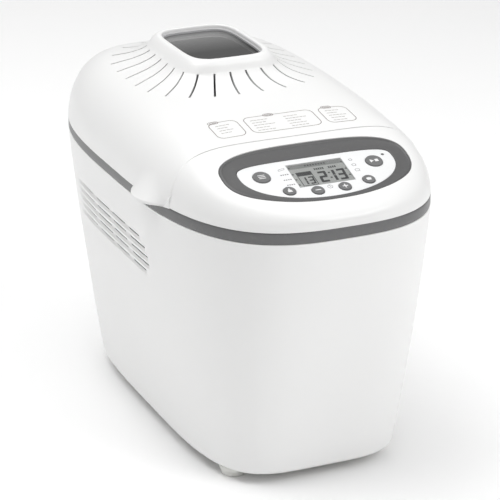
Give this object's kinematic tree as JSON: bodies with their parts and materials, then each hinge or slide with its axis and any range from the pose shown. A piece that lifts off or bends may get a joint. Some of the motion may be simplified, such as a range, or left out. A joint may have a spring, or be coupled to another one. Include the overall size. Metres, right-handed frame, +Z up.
{
  "type": "bread machine",
  "caption": "Domed counter-top bread machine with a hinged lid and window, a sloping control panel, and a lift-out pan with kneading paddles.",
  "frame": {"origin": "centre of the footprint on the surface the machine stands on", "axes": "+Z up, -Y towards the control panel and the user, +X to the user's right"},
  "size_m": [0.261, 0.4224, 0.3139],
  "materials": {
    "white_casing": "white moulded plastic, soft gloss",
    "grey_trim": "mid-grey moulded plastic, satin",
    "grey_buttons": "mid-grey plastic, fine satin",
    "panel_face": "off-white printed face, satin",
    "inner_plastic": "off-white plastic, matt",
    "black_plastic": "black plastic, matt",
    "display": "clear display cover",
    "tinted_glass": "toughened glass, lightly tinted",
    "steel": "plain steel sheet and turned steel",
    "galvanised": "galvanised steel",
    "non_stick": "dark grey non-stick coating, fine grain",
    "rubber": "black belt rubber",
    "circuit_board": "green board"
  },
  "bodies": {
    "casing": {"body_shell": "white_casing", "top_deck": "white_casing", "control_housing": "white_casing", "belt_trim": "grey_trim", "control_bezel": "grey_trim", "status_lens": "grey_buttons", "control_fascia": "panel_face", "base_plate": "inner_plastic", "foot_front_left": "inner_plastic", "foot_front_right": "inner_plastic", "foot_rear_left": "inner_plastic", "foot_rear_right": "inner_plastic", "cord_gland": "black_plastic", "lcd_module": "black_plastic", "display_window": "display", "oven_cavity": "steel", "heating_element": "steel", "temperature_sensor": "steel", "spindle_bearing_front": "steel", "spindle_bearing_rear": "steel", "hinge_pin_left": "steel", "hinge_pin_right": "steel", "base_screw_front_left": "steel", "base_screw_front_right": "steel", "base_screw_rear_left": "steel", "base_screw_rear_right": "steel", "drive_chassis": "galvanised", "motor_body": "galvanised", "hinge_bracket_left": "galvanised", "hinge_bracket_right": "galvanised", "drive_belt": "rubber", "timing_belt": "rubber", "control_board": "circuit_board", "power_board": "circuit_board"},
    "lid": {"lid_shell": "white_casing", "window_glass": "tinted_glass", "window_frame": "panel_face", "lid_liner": "steel"},
    "pan": {"bread_pan": "non_stick", "pan_skirt": "non_stick"},
    "handle": {"pan_handle": "steel"},
    "paddle_front": {"kneading_paddle_front": "non_stick", "pan_shaft_front": "steel"},
    "paddle_rear": {"kneading_paddle_rear": "non_stick", "pan_shaft_rear": "steel"},
    "spindle_front": {"drive_spindle_front": "steel", "driven_pulley": "black_plastic", "timing_pulley_front": "black_plastic"},
    "spindle_rear": {"drive_spindle_rear": "steel", "timing_pulley_rear": "black_plastic"},
    "rotor": {"motor_rotor": "steel"},
    "menu": {"menu_button": "grey_buttons"},
    "start_stop": {"start_stop_button": "grey_buttons"},
    "weight": {"weight_button": "grey_buttons"},
    "crust": {"crust_button": "grey_buttons"},
    "minus": {"minus_button": "grey_buttons"},
    "plus": {"plus_button": "grey_buttons"}
  },
  "joints": [
    {"name": "lid_hinge", "type": "hinge", "parent": "casing", "child": "lid", "pos_m": [0, 0.2065, 0.248], "axis": [-1, 0, 0], "range_deg": [0, 95]},
    {"name": "pan_lift", "type": "slide", "parent": "casing", "child": "pan", "axis": [0, 0, 1], "range_m": [0, 0.012]},
    {"name": "handle_swing", "type": "hinge", "parent": "pan", "child": "handle", "pos_m": [0, 0.038, 0.203], "axis": [0, -1, 0], "range_deg": [0, 152]},
    {"name": "spindle_rear_spin", "type": "hinge", "parent": "casing", "child": "spindle_rear", "pos_m": [0, 0.093, 0.04], "axis": [0, 0, 1], "continuous": true},
    {"name": "spindle_front_spin", "type": "hinge", "parent": "casing", "child": "spindle_front", "pos_m": [0, -0.017, 0.04], "axis": [0, 0, 1], "continuous": true},
    {"name": "motor_spin", "type": "hinge", "parent": "casing", "child": "rotor", "pos_m": [0, -0.142, 0.04], "axis": [0, 0, 1], "continuous": true},
    {"name": "paddle_rear_spin", "type": "hinge", "parent": "pan", "child": "paddle_rear", "pos_m": [0, 0.093, 0.1], "axis": [0, 0, 1], "continuous": true},
    {"name": "paddle_front_spin", "type": "hinge", "parent": "pan", "child": "paddle_front", "pos_m": [0, -0.017, 0.1], "axis": [0, 0, 1], "continuous": true},
    {"name": "menu_press", "type": "slide", "parent": "casing", "child": "menu", "axis": [0, 0.2965, -0.955], "range_m": [0, 0.001], "stiffness_N_per_m": 400, "springref_m": -0.0005},
    {"name": "start_stop_press", "type": "slide", "parent": "casing", "child": "start_stop", "axis": [0, 0.2965, -0.955], "range_m": [0, 0.001], "stiffness_N_per_m": 400, "springref_m": -0.0005},
    {"name": "weight_press", "type": "slide", "parent": "casing", "child": "weight", "axis": [0, 0.2965, -0.955], "range_m": [0, 0.001], "stiffness_N_per_m": 400, "springref_m": -0.0005},
    {"name": "crust_press", "type": "slide", "parent": "casing", "child": "crust", "axis": [0, 0.2965, -0.955], "range_m": [0, 0.001], "stiffness_N_per_m": 400, "springref_m": -0.0005},
    {"name": "minus_press", "type": "slide", "parent": "casing", "child": "minus", "axis": [0, 0.2965, -0.955], "range_m": [0, 0.001], "stiffness_N_per_m": 400, "springref_m": -0.0005},
    {"name": "plus_press", "type": "slide", "parent": "casing", "child": "plus", "axis": [0, 0.2965, -0.955], "range_m": [0, 0.001], "stiffness_N_per_m": 400, "springref_m": -0.0005}
  ],
  "couplings": [
    {"joint": "spindle_front_spin", "follows": "spindle_rear_spin", "ratio": 1},
    {"joint": "motor_spin", "follows": "spindle_rear_spin", "ratio": 4.4444},
    {"joint": "paddle_rear_spin", "follows": "spindle_rear_spin", "ratio": 1},
    {"joint": "paddle_front_spin", "follows": "spindle_rear_spin", "ratio": 1}
  ]
}
